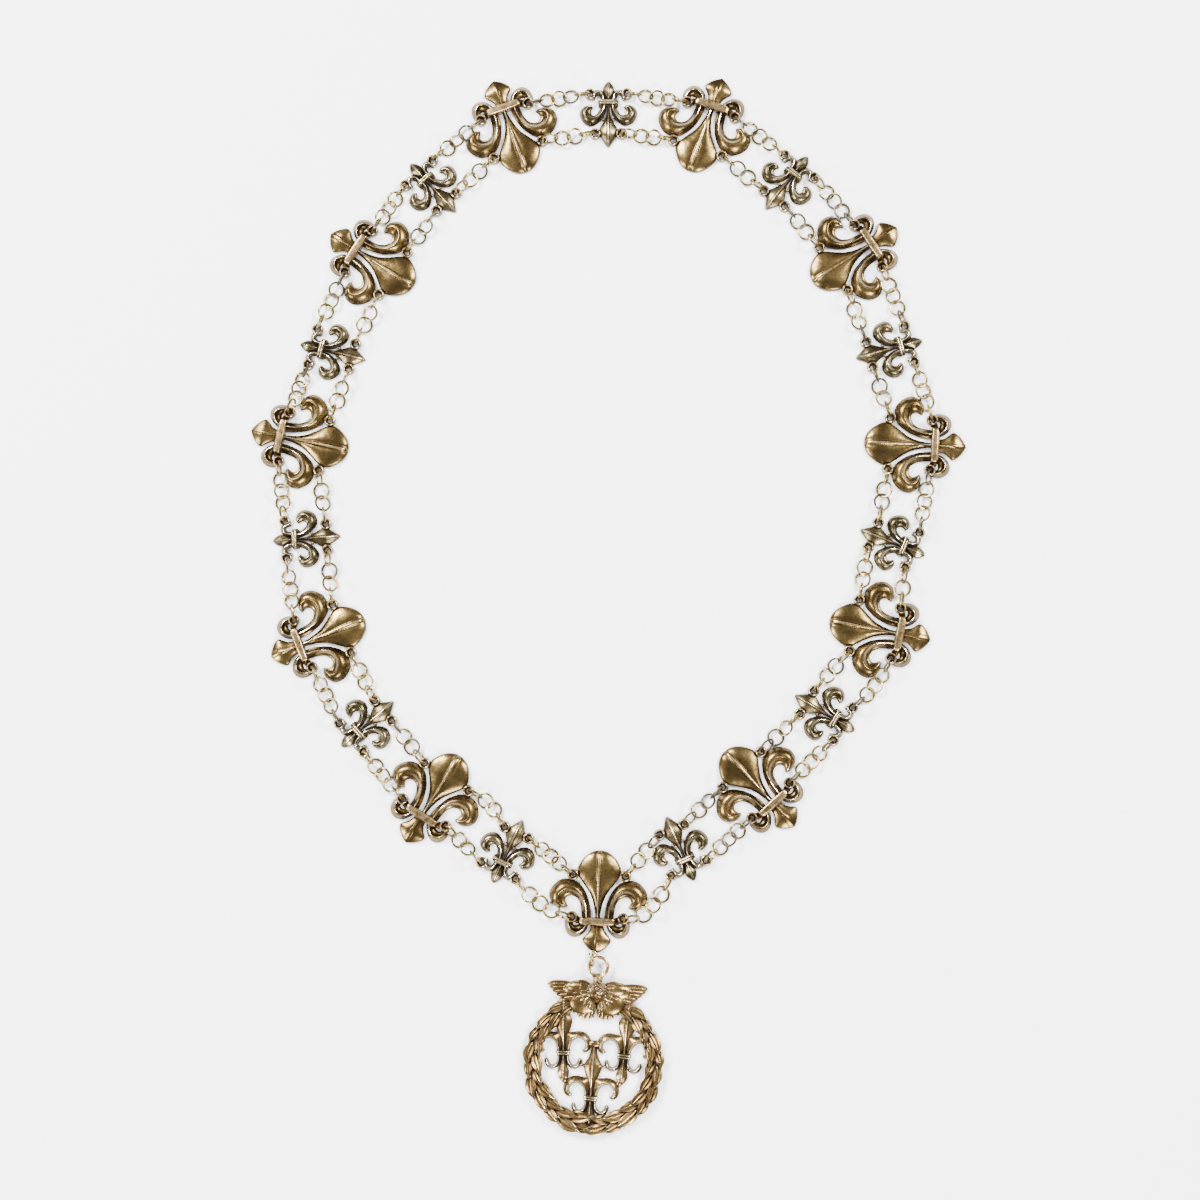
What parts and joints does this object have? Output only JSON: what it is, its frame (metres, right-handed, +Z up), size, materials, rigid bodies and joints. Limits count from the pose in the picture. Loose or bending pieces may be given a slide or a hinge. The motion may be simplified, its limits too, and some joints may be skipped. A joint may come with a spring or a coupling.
{
  "type": "livery collar",
  "caption": "Collar of cast fleur-de-lis plaques joined by paired short chains in a closed loop, with a winged cherub and laurel wreath pendant.",
  "frame": {"origin": "middle of the collar's box, on the surface that it lies on", "axes": "+Z up out of the faces of the plaques, +Y from the pendant to the nape, +X to the right"},
  "size_m": [0.3022, 0.4446, 0.0074],
  "materials": {
    "antique_gilt": "cast brass with an antique gilt patina, bright on the crests and brown-black in the recesses",
    "ring_gilt": "pale gilt wire, worn and partly tarnished grey"
  },
  "bodies": {
    "root": {"large_fleur_01": "antique_gilt", "large_fleur_02": "antique_gilt", "large_fleur_03": "antique_gilt", "large_fleur_04": "antique_gilt", "large_fleur_05": "antique_gilt", "large_fleur_06": "antique_gilt", "large_fleur_07": "antique_gilt", "large_fleur_08": "antique_gilt", "large_fleur_09": "antique_gilt", "large_fleur_10": "antique_gilt", "large_fleur_11": "antique_gilt", "small_fleur_chains_01": "antique_gilt", "small_fleur_chains_02": "antique_gilt", "small_fleur_chains_03": "antique_gilt", "small_fleur_chains_04": "antique_gilt", "small_fleur_chains_05": "antique_gilt", "small_fleur_chains_06": "antique_gilt", "small_fleur_chains_07": "antique_gilt", "small_fleur_chains_08": "antique_gilt", "small_fleur_chains_09": "antique_gilt", "small_fleur_chains_10": "antique_gilt", "small_fleur_chains_11": "antique_gilt", "pendant": "antique_gilt", "pendant_ring": "ring_gilt"}
  },
  "joints": []
}
